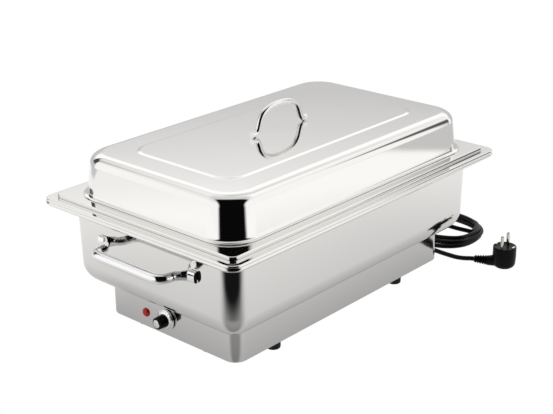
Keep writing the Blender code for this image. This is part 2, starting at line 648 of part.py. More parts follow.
def make_wiring():
    """A ceramic terminal block behind the cord's entry, and the wires to the heater's circuit."""
    block_z = PLATE_TOP + GAP + BLOCK_SIZE[2] / 2
    block = bevel(box("terminal_block", BLOCK_SIZE, (GLAND_X, BLOCK_Y, block_z)), 0.0010, 1)
    finish(block, "terminal_block", "white_ceramic", HOUSING)
    stud = turned("earth_stud", [
        (0, 0.0120), (0.0020, 0.0120), (0.0020, 0.0035), (0.0038, 0.0035), (0.0038, 0.0), (0, 0.0),
    ], (EARTH_X, EARTH_Y, PLATE_TOP + GAP), sides=12)
    finish(stud, "earth_stud", "brass", HOUSING)
    front = BLOCK_Y - BLOCK_SIZE[1] / 2 - WIRE_CLEAR
    wire_z = block_z + 0.0020
    element_end = ELEMENT_Z - ELEMENT_DROP - 0.0015
    thermostat_rear = THERMOSTAT_Y + THERMOSTAT_DEPTH / 2 + WIRE_CLEAR
    routes = {
        "wire_live": ("brown_wire", [
            (GLAND_X + 0.0020, front, wire_z), (GLAND_X + 0.0020, front - 0.006, wire_z),
            (0.0450, 0.1480, 0.0240), (0.0900, 0.1300, 0.0200),
            (0.0950, 0.0400, 0.0180), (0.0900, -0.0800, 0.0180), (0.0700, -0.1500, 0.0220),
            (0.0300, -0.1700, 0.0300), (KNOB_X + 0.0100, thermostat_rear + 0.006, 0.0310),
            (KNOB_X + 0.0100, thermostat_rear, 0.0310)]),
        "wire_neutral": ("blue_wire", [
            (GLAND_X - 0.0100, front, wire_z), (GLAND_X - 0.0100, front - 0.006, wire_z),
            (0.0000, 0.1550, 0.0240), (-0.0500, 0.1400, 0.0200),
            (-0.0900, 0.0600, 0.0180), (-0.0930, -0.0500, 0.0180), (-0.0800, -0.1150, 0.0220),
            (-0.0600, -0.1350, 0.0280), (-0.0540, -0.1392, element_end - 0.004),
            (-0.0540, -0.1392, element_end)]),
        "wire_switched": ("brown_wire", [
            (KNOB_X - 0.0080, thermostat_rear, 0.0310), (KNOB_X - 0.0080, thermostat_rear + 0.006, 0.0305),
            (0.0050, -0.1700, 0.0280), (0.0300, -0.1560, 0.0290), (0.0500, -0.1430, 0.0300),
            (0.0540, -0.1392, element_end - 0.004), (0.0540, -0.1392, element_end)]),
        "wire_earth": ("green_wire", [
            (GLAND_X + 0.0120, front, wire_z), (GLAND_X + 0.0120, front - 0.006, wire_z),
            (0.0520, 0.1620, 0.0250), (0.0640, 0.1720, 0.0250), (0.0680, 0.1850, 0.0290)]),
    }
    for name, (colour, route) in routes.items():
        finish(rod(name, smooth_path(route, 2), 0.0011, 1), name, colour, HOUSING)


# ---------------------------------------------------------------- power cord

RELIEF_FLANGE, RELIEF_LENGTH = 0.0030, 0.0260
CORD_EXIT_Y = BASE_REAR + GAP + RELIEF_FLANGE + RELIEF_LENGTH


def plug_point(along, z):
    """A point on the plug's own line, measured from its axis towards the cord."""
    return (PLUG_X - along * math.cos(PLUG_TURN), PLUG_Y - along * math.sin(PLUG_TURN), z)


# the stretch from the base to the coil, and the stretch from the coil to the plug
LEAD_IN = [
    (GLAND_X, CORD_EXIT_Y + GAP, 0.0330), (0.0257, 0.2660, 0.0332), (0.0290, 0.2800, 0.0326),
    (0.0360, 0.2950, 0.0305), (0.0480, 0.3090, 0.0268), (0.0630, 0.3215, 0.0215), (0.0790, 0.3330, 0.0160),
    (0.0920, 0.3430, 0.0122), (0.0998, 0.3497, 0.0108),
]
LEAD_OUT = [
    (0.0580, 0.2626, 0.0039), (0.0740, 0.2618, 0.0039), (0.0920, 0.2608, 0.0039),
    (0.1120, 0.2600, 0.0040), (0.1290, 0.2596, 0.0046), (0.1420, 0.2606, 0.0062),
    plug_point(PLUG_REACH + 0.0070, PLUG_CORD_Z - 0.0004), plug_point(PLUG_REACH + 2 * GAP, PLUG_CORD_Z),
]


def make_cord():
    relief = turned("cord_strain_relief", [
        (0, RELIEF_LENGTH + RELIEF_FLANGE), (0.0048, RELIEF_LENGTH + RELIEF_FLANGE),
        (0.0082, RELIEF_FLANGE + 0.0015), (0.0115, RELIEF_FLANGE), (0.0115, 0.0), (0.0079, 0.0),
        (0.0079, -0.0100), (0, -0.0100),
    ], (GLAND_X, BASE_REAR + GAP, GLAND_Z), "Y", 24)
    finish(relief, "cord_strain_relief", "black_rubber", HOUSING)
    nut = turned("gland_nut", [
        (0.0094, 0.0040), (0.0135, 0.0040), (0.0135, 0.0), (0.0094, 0.0),
    ], (GLAND_X, BASE_REAR - BASE_SHEET - GAP - 0.0040, GLAND_Z), "Y", 6)
    finish(nut, "gland_nut", "black_plastic", HOUSING)
    inner_start = (GLAND_X, BASE_REAR - 0.0100 - 2 * GAP, GLAND_Z)     # behind the relief's inner end
    inner_end = (GLAND_X, BLOCK_Y + BLOCK_SIZE[1] / 2 + GAP, PLATE_TOP + 0.0090)
    inner = rod("cord_inner_end", smooth_path([
        inner_start, (GLAND_X, inner_start[1] - 0.0080, GLAND_Z - 0.0010),
        (GLAND_X, inner_end[1] + 0.0080, inner_end[2] + 0.0010), inner_end], 3), CORD_RADIUS, 2)
    finish(inner, "cord_inner_end", "black_rubber", HOUSING)
    for name, route in (("power_cord_lead_in", LEAD_IN), ("power_cord_lead_out", LEAD_OUT)):
        finish(rod(name, smooth_path(route, 2), CORD_RADIUS, 3), name, "black_rubber", HOUSING)
    turn = [math.radians(360 * step / 44) for step in range(44)]
    oval = [(COIL_X + COIL_HALF_X * math.cos(a), COIL_Y + COIL_HALF_Y * math.sin(a), COIL_Z) for a in turn]
    coil = rod("power_cord_coil", oval, COIL_BUNDLE, 3, cyclic=True)
    finish(coil, "power_cord_coil", "black_rubber", HOUSING)


def make_plug():
    """A right-angle earthed plug that stands on its back with its two pins up."""
    bottom, rounding = 0.0004, 0.0090
    profile = [(0, PLUG_FACE), (PLUG_RADIUS - 0.0014, PLUG_FACE),
               (PLUG_RADIUS - 0.0004, PLUG_FACE - 0.0010)]
    profile += [(PLUG_RADIUS - 0.0008 - rounding * (1 - math.cos(a)), bottom + rounding * (1 - math.sin(a)))
                for a in (math.radians(22.5 * k) for k in range(5))]
    body = turned("plug_body", [*profile, (0, bottom)], (PLUG_X, PLUG_Y, 0), sides=28)
    neck_length = PLUG_REACH - 0.0080
    neck = cylinder("plug_neck", 0.0076, neck_length, (0, 0, 0), "X", 20, 0.0050)
    neck.location = plug_point(PLUG_REACH - neck_length / 2, PLUG_CORD_Z)
    neck.rotation_euler = (0, 0, PLUG_TURN + math.pi)
    boolean(body, neck, "UNION")
    finish(body, "plug_body", "black_plastic", HOUSING)
    for number, side in enumerate((-1, 1), 1):
        along, across = math.cos(CLIP_TURN), math.sin(CLIP_TURN)
        pin = turned("plug_pin", [
            (0, 0.0190), (0.0014, 0.0188), (0.0024, 0.0176), (0.0024, 0.0), (0, 0.0),
        ], (PLUG_X - side * 0.0095 * across, PLUG_Y + side * 0.0095 * along, PLUG_FACE + GAP), sides=16)
        finish(pin, f"plug_pin_{number}", "chrome", HOUSING)
        clip = bevel(box("plug_earth_clip", (0.0030, 0.0070, 0.0012), (0, 0, 0)), 0.0003, 1)
        clip.location = (
            PLUG_X + side * 0.0142 * along, PLUG_Y + side * 0.0142 * across, PLUG_FACE + GAP + 0.0006)
        clip.rotation_euler = (0, 0, CLIP_TURN)
        finish(clip, f"plug_earth_clip_{number}", "zinc_steel", HOUSING)


def main():
    make_lid()
    make_lid_handle()
    make_food_pan()
    make_water_tub()
    make_tub_fixings()
    make_base_housing()
    make_base_plate()
    make_feet()
    make_side_handles()
    make_knob()
    make_thermostat()
    make_pilot_lamp()
    make_heater()
    make_wiring()
    make_cord()
    make_plug()


main()
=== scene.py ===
"""The looks of the electric buffet server: polished steel, black cord and plug, in a bright studio.

Lengths are in metres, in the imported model's frame: X is the width, Y the length with the controls at -Y.
"""
import math
import json

import bmesh
import bpy
from mathutils import Matrix, Vector


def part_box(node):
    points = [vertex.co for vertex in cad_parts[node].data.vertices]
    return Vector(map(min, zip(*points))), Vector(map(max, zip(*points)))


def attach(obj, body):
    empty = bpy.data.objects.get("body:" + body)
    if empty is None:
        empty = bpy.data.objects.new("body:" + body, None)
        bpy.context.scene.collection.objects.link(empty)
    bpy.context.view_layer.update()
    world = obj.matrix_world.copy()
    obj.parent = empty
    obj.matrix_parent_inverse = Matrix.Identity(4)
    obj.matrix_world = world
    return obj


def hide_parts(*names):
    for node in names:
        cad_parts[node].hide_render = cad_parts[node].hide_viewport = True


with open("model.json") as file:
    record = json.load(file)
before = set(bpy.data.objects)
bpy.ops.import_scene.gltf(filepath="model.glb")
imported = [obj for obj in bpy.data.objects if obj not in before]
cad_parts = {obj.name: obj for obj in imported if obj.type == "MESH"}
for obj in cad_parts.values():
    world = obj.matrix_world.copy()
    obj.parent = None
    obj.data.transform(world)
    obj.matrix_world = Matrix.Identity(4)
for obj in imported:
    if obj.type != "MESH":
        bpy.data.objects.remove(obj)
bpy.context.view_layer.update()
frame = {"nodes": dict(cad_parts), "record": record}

# ---------------------------------------------------------------- driving dimensions, as in the CAD model

LONGER = (0.530 - 0.325) / 2      # how much longer than wide each half outline is
SHEET = 0.0008
PAN_HALF, PAN_EDGE = 0.1640, 0.0046
RIM_TOP = 0.1853
RIM_HALF, RIM_CORNER = 0.1777, 0.0175
PAN_TOP = RIM_TOP + 0.0003 + PAN_EDGE
PAN_FLOOR = PAN_TOP - 0.065
LID_FOOT_HALF, LID_FOOT = 0.1500, PAN_TOP + 0.0003
LID_TOP = 0.2470
PANEL_HALF, PANEL_RISE = 0.0908, 0.0012
TUB_FLOOR = 0.0591
BASE_HALF, BASE_CENTRE_Y = 0.1200, 0.0030
BASE_BOTTOM, BASE_TOP = 0.0130, 0.0580
BASE_FRONT = BASE_CENTRE_Y - BASE_HALF - LONGER
BASE_REAR = BASE_CENTRE_Y + BASE_HALF + LONGER
HANDLE_Z = 0.1390
KNOB_X, KNOB_Z = -0.0059, 0.0375
LAMP_X, LAMP_Z = -0.0465, 0.0345
GLAND_X, GLAND_Z = 0.0250, 0.0330
CORD_DIAMETER = 0.0070
COIL_X, COIL_Y = 0.0270, 0.3330
COIL_HALF_X, COIL_HALF_Y = 0.0880, 0.0610
PLUG_X, PLUG_Y, PLUG_FACE = 0.1984, 0.2842, 0.0345
PLUG_TURN = math.radians(24)
PLUG_REACH, PLUG_CORD_Z = 0.0450, 0.0080


def plug_point(along, z):
    """A point on the plug's own line, measured from its axis towards the cord."""
    return (PLUG_X - along * math.cos(PLUG_TURN), PLUG_Y - along * math.sin(PLUG_TURN), z)


# ---------------------------------------------------------------- shape tools

def add_object(name, data):
    obj = bpy.data.objects.new(name, data)
    bpy.context.scene.collection.objects.link(obj)
    return obj


def mesh_object(name, bm, smooth_angle=35):
    mesh = bpy.data.meshes.new(name)
    bmesh.ops.recalc_face_normals(bm, faces=bm.faces)
    bm.to_mesh(mesh)
    bm.free()
    mesh.shade_smooth()
    mesh.set_sharp_from_angle(angle=math.radians(smooth_angle))
    return add_object(name, mesh)


def rounded_rectangle(half, corner, z, centre_y=0.0, steps=20):
    points = []
    for quarter in range(4):
        side_x = 1 if quarter in (0, 3) else -1
        side_y = 1 if quarter in (0, 1) else -1
        for step in range(steps + 1):
            angle = math.radians(90 * (quarter + step / steps))
            points.append((side_x * (half - corner) + corner * math.cos(angle),
                           centre_y + side_y * (half + LONGER - corner) + corner * math.sin(angle), z))
    return points


def round_profile(vertices, steps=10):
    """Rounds a section's corners. Each vertex is (half width, z, fillet radius, plan corner radius)."""
    points = [(vertices[0][0], vertices[0][3], vertices[0][1])]
    for before, here, after in zip(vertices, vertices[1:], vertices[2:]):
        middle = Vector(here[:2])
        back, ahead = Vector(before[:2]) - middle, Vector(after[:2]) - middle
        turn = back.angle(ahead)
        if here[2] == 0:
            points.append((here[0], here[3], here[1]))
            continue
        reach = here[2] / math.tan(turn / 2)
        start, end = middle + back.normalized() * reach, middle + ahead.normalized() * reach
        centre = middle + (back.normalized() + ahead.normalized()).normalized() * here[2] / math.sin(turn / 2)
        first, last = start - centre, end - centre
        sweep = math.atan2(first.x * last.y - first.y * last.x, first.dot(last))
        for step in range(steps + 1):
            angle = sweep * step / steps
            x = centre.x + first.x * math.cos(angle) - first.y * math.sin(angle)
            y = centre.y + first.x * math.sin(angle) + first.y * math.cos(angle)
            share = step / steps
            corner = here[3] if len(here) == 4 else here[3] * (1 - share) + here[4] * share
            points.append((x, corner, y))
    points.append((vertices[-1][0], vertices[-1][3], vertices[-1][1]))
    return points


def weighted_normals(obj):
    modifier = obj.modifiers.new("weighted normals", "WEIGHTED_NORMAL")
    modifier.mode = "FACE_AREA"
    modifier.weight = 100
    modifier.keep_sharp = True


def pressed_sheet(name, profile, thickness=SHEET, close_last=True, centre_y=0.0, steps=20, extra=None):
    """A pressed steel sheet under the skin that runs over rounded rectangles."""
    bm = bmesh.new()
    rings = [[bm.verts.new(point) for point in rounded_rectangle(*place, centre_y, steps)]
             for place in profile]
    for lower, upper in zip(rings, rings[1:]):
        for here, after in zip(range(len(lower)), [*range(1, len(lower)), 0]):
            bm.faces.new((lower[here], lower[after], upper[after], upper[here]))
    if close_last:
        bm.faces.new(rings[-1])
    mesh = bpy.data.meshes.new(name)
    bm.to_mesh(mesh)
    bm.free()
    mesh.shade_smooth()
    obj = add_object(name, mesh)
    solidify = obj.modifiers.new("sheet", "SOLIDIFY")
    solidify.thickness = thickness
    solidify.offset = -1
    solidify.use_even_offset = True
    if extra:
        extra(obj)
    weighted_normals(obj)
    return obj


def turned(name, profile, centre, direction=(0, 0, 1), steps=64):
    """A turned piece: profile holds (radius, height) from top to bottom down the outer side."""
    bm = bmesh.new()
    turn = Vector((0, 0, 1)).rotation_difference(Vector(direction)).to_matrix()
    angles = [2 * math.pi * k / steps for k in range(steps)]
    rings = []
    for radius, height in profile:
        ring = [Vector((radius * math.cos(a), radius * math.sin(a), height)) for a in angles]
        if radius < 1e-6:
            ring = ring[:1]
        rings.append([bm.verts.new(Vector(centre) + turn @ point) for point in ring])
    if len(rings[0]) > 1 and len(rings[-1]) > 1:
        rings.append(rings[0])
    for upper, lower in zip(rings, rings[1:]):
        for k in range(steps):
            corners = [upper[k % len(upper)], upper[(k + 1) % len(upper)],
                       lower[(k + 1) % len(lower)], lower[k % len(lower)]]
            corners = list(dict.fromkeys(corners))
            if len(corners) > 2:
                bm.faces.new(corners)
    return mesh_object(name, bm)


def smooth_path(points, per_span):
    """Points on a Catmull-Rom curve through the given ones."""
    guide = [Vector(point) for point in points]
    ends = [2 * guide[0] - guide[1], *guide, 2 * guide[-1] - guide[-2]]
    path = []
    for before, start, end, after in zip(ends, ends[1:], ends[2:], ends[3:]):
        for step in range(per_span):
            t = step / per_span
            path.append(0.5 * (2 * start + (end - before) * t
                               + (2 * before - 5 * start + 4 * end - after) * t ** 2
                               + (3 * start - before - 3 * end + after) * t ** 3))
    return [*path, guide[-1]]


def tube_mesh(name, path, radii, sides=32):
    """A round bar along a path, with its own radius at each point and flat ends."""
    bm = bmesh.new()
    tangents = [(after - before).normalized() for before, after in
                zip([path[0], *path[:-1]], [*path[1:], path[-1]])]
    side = tangents[0].orthogonal().normalized()
    rings = []
    for index, (point, tangent) in enumerate(zip(path, tangents)):
        side = (side - side.dot(tangent) * tangent).normalized()
        other = tangent.cross(side)
        rings.append([bm.verts.new(point + radii[index] * (math.cos(a) * side + math.sin(a) * other))
                      for a in (2 * math.pi * k / sides for k in range(sides))])
    for lower, upper in zip(rings, rings[1:]):
        for k in range(sides):
            bm.faces.new((lower[k], lower[(k + 1) % sides], upper[(k + 1) % sides], upper[k]))
    bm.faces.new(rings[0][::-1])
    bm.faces.new(rings[-1])
    return mesh_object(name, bm, 50)


# ---------------------------------------------------------------- camera

def make_camera():
    data = bpy.data.cameras.new("camera")
    data.sensor_width = 36
    data.lens = 78.75
    data.clip_end = 50
    camera = add_object("camera", data)
    heading, looks_down, roll = math.radians(42.054), math.radians(21.612), math.radians(-0.59)
    turn = (Matrix.Rotation(heading, 4, "Z") @ Matrix.Rotation(math.pi / 2 - looks_down, 4, "X")
            @ Matrix.Rotation(roll, 4, "Z"))
    camera.matrix_world = Matrix.Translation((1.0618, -1.1849, 0.7626)) @ turn
    bpy.context.scene.camera = camera


# ---------------------------------------------------------------- materials

class Shading:
    """Builds a node tree from plain expressions; every method gives back an output socket."""

    def __init__(self, tree, start_empty=True):
        self.nodes, self.links = tree.nodes, tree.links
        if start_empty:
            self.nodes.clear()

    def node(self, kind, inputs, output=0, **settings):
        node = self.nodes.new(kind)
        for name, value in settings.items():
            setattr(node, name, value)
        for slot, value in inputs.items():
            if isinstance(value, bpy.types.NodeSocket):
                self.links.new(value, node.inputs[slot])
            else:
                node.inputs[slot].default_value = value
        return node.outputs[output]

    def math(self, operation, first, second=0.0):
        return self.node("ShaderNodeMath", {0: first, 1: second}, operation=operation)

    def vector(self, operation, first, second=(0, 0, 0), output=0):
        return self.node("ShaderNodeVectorMath", {0: first, 1: second}, output, operation=operation)

    def fade(self, value, low, high, at_low, at_high):
        return self.node("ShaderNodeMapRange", {0: value, 1: low, 2: high, 3: at_low, 4: at_high},
                         interpolation_type="SMOOTHSTEP")

    def mix(self, share, first, second):
        return self.math("ADD", self.math("MULTIPLY", first, self.math("SUBTRACT", 1.0, share)),
                         self.math("MULTIPLY", second, share))

    def ramp(self, value, stops):
        """Brightness by height of the direction: stops hold (sine of the elevation, brightness)."""
        socket = self.node("ShaderNodeValToRGB", {0: self.math("DIVIDE", self.math("ADD", value, 1.0), 2.0)})
        elements = socket.node.color_ramp.elements
        while len(elements) < len(stops):
            elements.new(0.5)
        for element, (height, brightness) in zip(elements, stops):
            element.position = (height + 1) / 2
            element.color = (brightness / 2, brightness / 2, brightness / 2, 1)
        return self.math("MULTIPLY", socket, 2.0)

    def only_seen_by_camera(self, kind, seen, lit, out_kind):
        """White where the camera looks straight at it, and the studio's own brightness in reflections."""
        camera = self.node("ShaderNodeLightPath", {}, "Is Camera Ray")
        self.node_out(out_kind, self.node("ShaderNodeMixShader", {
            0: camera, 1: self.node(kind, {"Color": (1, 1, 1, 1), "Strength": lit}),
            2: self.node(kind, {"Color": (1, 1, 1, 1), "Strength": seen})}))

    def node_out(self, kind, shader):
        self.links.new(shader, self.nodes.new(kind).inputs["Surface"])


def new_material(name):
    material = bpy.data.materials.new(name)
    material.use_nodes = True
    return material, material.node_tree.nodes, material.node_tree.links


def steel(name, colour, roughness, spread=0.03, wave=0.15, wave_scale=7.0, grain=0.02,
          grain_scale=(900, 900, 40)):
    """Polished sheet: faint waves from the press, fine polishing lines, and slightly uneven gloss."""
    material, nodes, links = new_material(name)
    shader = nodes["Principled BSDF"]
    shader.inputs["Metallic"].default_value = 1.0
    shader.inputs["Base Color"].default_value = (*colour, 1)
    place = nodes.new("ShaderNodeTexCoord")
    waves = nodes.new("ShaderNodeTexNoise")
    waves.inputs["Scale"].default_value = wave_scale
    waves.inputs["Detail"].default_value = 1.0
    stretch = nodes.new("ShaderNodeMapping")
    stretch.inputs["Scale"].default_value = grain_scale
    lines = nodes.new("ShaderNodeTexNoise")
    lines.inputs["Scale"].default_value = 1.0
    lines.inputs["Detail"].default_value = 3.0
    low, high = nodes.new("ShaderNodeBump"), nodes.new("ShaderNodeBump")
    low.inputs["Strength"].default_value = wave
    low.inputs["Distance"].default_value = 0.002
    high.inputs["Strength"].default_value = grain
    high.inputs["Distance"].default_value = 0.0001
    gloss = nodes.new("ShaderNodeMapRange")
    gloss.inputs["From Min"].default_value = 0.3
    gloss.inputs["From Max"].default_value = 0.7
    gloss.inputs["To Min"].default_value = roughness - spread / 2
    gloss.inputs["To Max"].default_value = roughness + spread / 2
    links.new(place.outputs["Object"], waves.inputs["Vector"])
    links.new(place.outputs["Object"], stretch.inputs["Vector"])
    links.new(stretch.outputs["Vector"], lines.inputs["Vector"])
    links.new(waves.outputs["Fac"], low.inputs["Height"])
    links.new(lines.outputs["Fac"], high.inputs["Height"])
    links.new(low.outputs["Normal"], high.inputs["Normal"])
    links.new(high.outputs["Normal"], shader.inputs["Normal"])
    links.new(lines.outputs["Fac"], gloss.inputs["Value"])
    links.new(gloss.outputs["Result"], shader.inputs["Roughness"])
    return material


def plastic(name, colour, roughness, bump=0.1, scale=900.0, gleam=0.3):
    """Moulded plastic or rubber with a fine uneven skin."""
    spread = 0.12
    material, nodes, links = new_material(name)
    shader = nodes["Principled BSDF"]
    place = nodes.new("ShaderNodeTexCoord")
    shader.inputs["Specular IOR Level"].default_value = gleam
    skin = nodes.new("ShaderNodeTexNoise")
    skin.inputs["Scale"].default_value = scale
    skin.inputs["Detail"].default_value = 4.0
    tint = nodes.new("ShaderNodeValToRGB")
    tint.color_ramp.elements[0].color = (*[c * 0.75 for c in colour], 1)
    tint.color_ramp.elements[1].color = (*[min(c * 1.25, 1) for c in colour], 1)
    gloss = nodes.new("ShaderNodeMapRange")
    gloss.inputs["To Min"].default_value = max(roughness - spread / 2, 0)
    gloss.inputs["To Max"].default_value = roughness + spread / 2
    height = nodes.new("ShaderNodeBump")
    height.inputs["Strength"].default_value = bump
    height.inputs["Distance"].default_value = 0.0003
    links.new(place.outputs["Object"], skin.inputs["Vector"])
    links.new(skin.outputs["Fac"], tint.inputs["Fac"])
    links.new(tint.outputs["Color"], shader.inputs["Base Color"])
    links.new(skin.outputs["Fac"], gloss.inputs["Value"])
    links.new(gloss.outputs["Result"], shader.inputs["Roughness"])
    links.new(skin.outputs["Fac"], height.inputs["Height"])
    links.new(height.outputs["Normal"], shader.inputs["Normal"])
    return material


def dial_scale(material):
    """Prints a ring of plain dark marks on the dial's sloping edge."""
    marks_around, mark_share = 20.0, 0.20
    inner, outer = 0.0118, 0.0135
    tree = material.node_tree
    bare_metal = tree.nodes["Principled BSDF"].outputs[0]
    shade = Shading(tree, start_empty=False)
    place = shade.node("ShaderNodeTexCoord", {}, "Object")
    x = shade.math("SUBTRACT", shade.node("ShaderNodeSeparateXYZ", {0: place}, "X"), KNOB_X)
    z = shade.math("SUBTRACT", shade.node("ShaderNodeSeparateXYZ", {0: place}, "Z"), KNOB_Z)
    turn = shade.math("DIVIDE", shade.math("ARCTAN2", z, x), 2 * math.pi)
    radius = shade.math("SQRT", shade.math("ADD", shade.math("MULTIPLY", x, x), shade.math("MULTIPLY", z, z)))
    marks = shade.math("LESS_THAN", shade.math("FRACT", shade.math("MULTIPLY", turn, marks_around)), mark_share)
    ring = shade.math("MULTIPLY", shade.math("GREATER_THAN", radius, inner),
                      shade.math("LESS_THAN", radius, outer))
    paint = shade.node("ShaderNodeBsdfPrincipled", {"Base Color": (0.01, 0.01, 0.01, 1), "Roughness": 0.4})
    printed = shade.node("ShaderNodeMixShader",
                         {0: shade.math("MULTIPLY", marks, ring), 1: bare_metal, 2: paint})
    tree.links.new(printed, tree.nodes["Material Output"].inputs["Surface"])
    return material


def make_materials():
    return {
        "lid_steel": steel("lid_steel", (0.83, 0.82, 0.80), 0.05),
        "pan_steel": steel("pan_steel", (0.82, 0.81, 0.79), 0.06),
        "tub_steel": steel("tub_steel", (0.80, 0.79, 0.77), 0.07),
        "base_steel": steel("base_steel", (0.74, 0.73, 0.72), 0.10),
        "chrome": steel("chrome", (0.86, 0.86, 0.86), 0.04, 0.02, 0.02),
        "satin_chrome": steel("satin_chrome", (0.84, 0.83, 0.82), 0.17, 0.06, 0.03, 7.0, 0.0),
        "zinc_steel": steel("zinc_steel", (0.52, 0.53, 0.55), 0.35, 0.15, 0.05, 60.0, 0.3, (400, 400, 400)),
        "dial_metal": dial_scale(steel("dial_metal", (0.84, 0.84, 0.83), 0.20, 0.08)),
        "aluminium": steel("aluminium", (0.75, 0.75, 0.77), 0.32, 0.1, 0.05, 30.0, 0.2),
        "brass": steel("brass", (0.72, 0.55, 0.26), 0.28, 0.1, 0.03, 60.0, 0.2),
        "copper": steel("copper", (0.78, 0.42, 0.28), 0.30, 0.1, 0.03, 60.0, 0.2),
        "element_sheath": steel("element_sheath", (0.34, 0.31, 0.28), 0.40, 0.2, 0.05, 60.0, 0.3),
        "pin_nickel": steel("pin_nickel", (0.74, 0.71, 0.66), 0.16, 0.08, 0.02, 60.0, 0.1),
        "knob_plastic": plastic("knob_plastic", (0.002, 0.002, 0.0023), 0.22, 0.04, 900.0, 0.10),
        "plug_plastic": plastic("plug_plastic", (0.002, 0.002, 0.0023), 0.30, 0.06, 1400.0, 0.12),
        "cord_rubber": plastic("cord_rubber", (0.002, 0.002, 0.0023), 0.28, 0.04, 700.0, 0.16),
        "foot_rubber": plastic("foot_rubber", (0.014, 0.014, 0.014), 0.62, 0.4, 900.0),
        "lamp_lens": plastic("lamp_lens", (0.60, 0.016, 0.018), 0.12, 0.03, 300.0),
        "ceramic": plastic("ceramic", (0.74, 0.71, 0.66), 0.35, 0.1, 500.0),
        "mineral_felt": plastic("mineral_felt", (0.52, 0.47, 0.38), 0.9, 1.0, 900.0),
        "brown_wire": plastic("brown_wire", (0.14, 0.05, 0.02), 0.4),
        "blue_wire": plastic("blue_wire", (0.02, 0.08, 0.36), 0.4),
        "green_wire": plastic("green_wire", (0.16, 0.36, 0.04), 0.4),
    }


# ---------------------------------------------------------------- pieces

def place_piece(obj, body, slot, *nodes, look=None):
    """Gives a piece its material and its body, and lets it stand for CAD nodes."""
    obj.data.materials.clear()
    obj.data.materials.append(MATERIALS[look or slot])
    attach(obj, body)
    if nodes:
        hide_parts(*nodes)
    return obj


# the same stretches as in the CAD model: base to coil, and coil to plug
LEAD_IN = [
    (GLAND_X, BASE_REAR + 0.0296, 0.0330), (0.0257, 0.2660, 0.0332), (0.0290, 0.2800, 0.0326),
    (0.0360, 0.2950, 0.0305), (0.0480, 0.3090, 0.0268), (0.0630, 0.3215, 0.0215), (0.0790, 0.3330, 0.0160),
    (0.0920, 0.3430, 0.0122), (0.0998, 0.3497, 0.0108),
]
LEAD_OUT = [
    (0.0580, 0.2626, 0.0039), (0.0740, 0.2618, 0.0039), (0.0920, 0.2608, 0.0039),
    (0.1120, 0.2600, 0.0040), (0.1290, 0.2596, 0.0046), (0.1420, 0.2606, 0.0062),
    plug_point(PLUG_REACH + 0.0070, PLUG_CORD_Z - 0.0004), plug_point(PLUG_REACH + 0.0006, PLUG_CORD_Z),
]


def between(stops, at):
    """Linear reading of a table of (place, value)."""
    for (low, first), (high, last) in zip(stops, stops[1:]):
        if at <= high:
            return first + (last - first) * (at - low) / (high - low)
    return stops[-1][1]


def coil_points():
    """Loose flattened turns, anticlockwise from above, that go from the top of the bundle to the table."""
    lifts = [(0.0, 0.0112), (0.35, 0.0112), (0.85, 0.0130), (1.2, 0.0105), (1.85, 0.0085), (2.3, 0.0058),
             (2.85, 0.0042), (3.3, 0.0039), (3.8, 0.0039)]
    outs = [(0.0, -0.0040), (0.2, 0.0010), (0.35, 0.0020), (0.85, -0.0090), (1.2, 0.0010), (1.85, -0.0020),
            (2.15, 0.0040), (2.85, 0.0055), (3.2, -0.0030), (3.8, 0.0020)]
    points = []
    start, end = 28 / 360, 3 + 282 / 360
    count = 84
    for step in range(1, count):
        turns = start + (end - start) * step / count
        angle = 2 * math.pi * turns
        out, lift = between(outs, turns) - 0.0035, between(lifts, turns)
        across, along = math.cos(angle), math.sin(angle)
        points.append((COIL_X + (COIL_HALF_X + out) * math.copysign(abs(across) ** 0.8, across),
                       COIL_Y + (COIL_HALF_Y + out) * math.copysign(abs(along) ** 0.8, along), lift))
    return points


def make_cord():
    path = smooth_path([*LEAD_IN, *coil_points(), *LEAD_OUT], 3)
    curve = bpy.data.curves.new("power_cord", "CURVE")
    curve.dimensions = "3D"
    curve.bevel_depth = CORD_DIAMETER / 2
    curve.bevel_resolution = 5
    curve.use_fill_caps = True
    spline = curve.splines.new("POLY")
    spline.points.add(len(path) - 1)
    for index, point in enumerate(path):
        spline.points[index].co = (*point, 1)
    spline.use_smooth = True
    cord = add_object("power_cord", curve)
    return cord, sum((b - a).length for a, b in zip(path, path[1:]))


def make_plug():
    bottom, rounding, radius = 0.0004, 0.0090, 0.0178
    profile = [(0, PLUG_FACE - 0.0004), (0.0136, PLUG_FACE - 0.0004), (0.0142, PLUG_FACE)]
    profile += [(radius - 0.0014 + 0.0010 * math.sin(a), PLUG_FACE - 0.0010 + 0.0010 * math.cos(a))
                for a in (math.radians(18 * k) for k in range(6))]
    profile += [(radius - 0.0002, PLUG_FACE - 0.0160)]
    profile += [(radius - 0.0008 - rounding * (1 - math.cos(a)), bottom + rounding * (1 - math.sin(a)))
                for a in (math.radians(9 * k) for k in range(11))]
    return turned("plug_shell", [*profile, (0, bottom)], (PLUG_X, PLUG_Y, 0))


def make_plug_neck():
    """The tapered neck and its ribbed strain relief, which end the cord at the plug."""
    along = [0.006, 0.012, 0.018, 0.022, 0.0255]
    radii = [0.0098, 0.0090, 0.0082, 0.0076, 0.0074]
    for rib in range(5):
        place = 0.0262 + rib * 0.0037
        thick = 0.0072 - rib * 0.00035
        for shift, grow in ((0, -0.0012), (0.0003, -0.0012), (0.0008, 0), (0.0024, 0), (0.0029, -0.0012)):
            along.append(place + shift)
            radii.append(thick + grow)
    along.append(PLUG_REACH)
    radii.append(0.0046)
    path = [Vector(plug_point(a, max(PLUG_CORD_Z, r + 0.0005))) for a, r in zip(along, radii)]
    return tube_mesh("plug_neck", path, radii, 40)


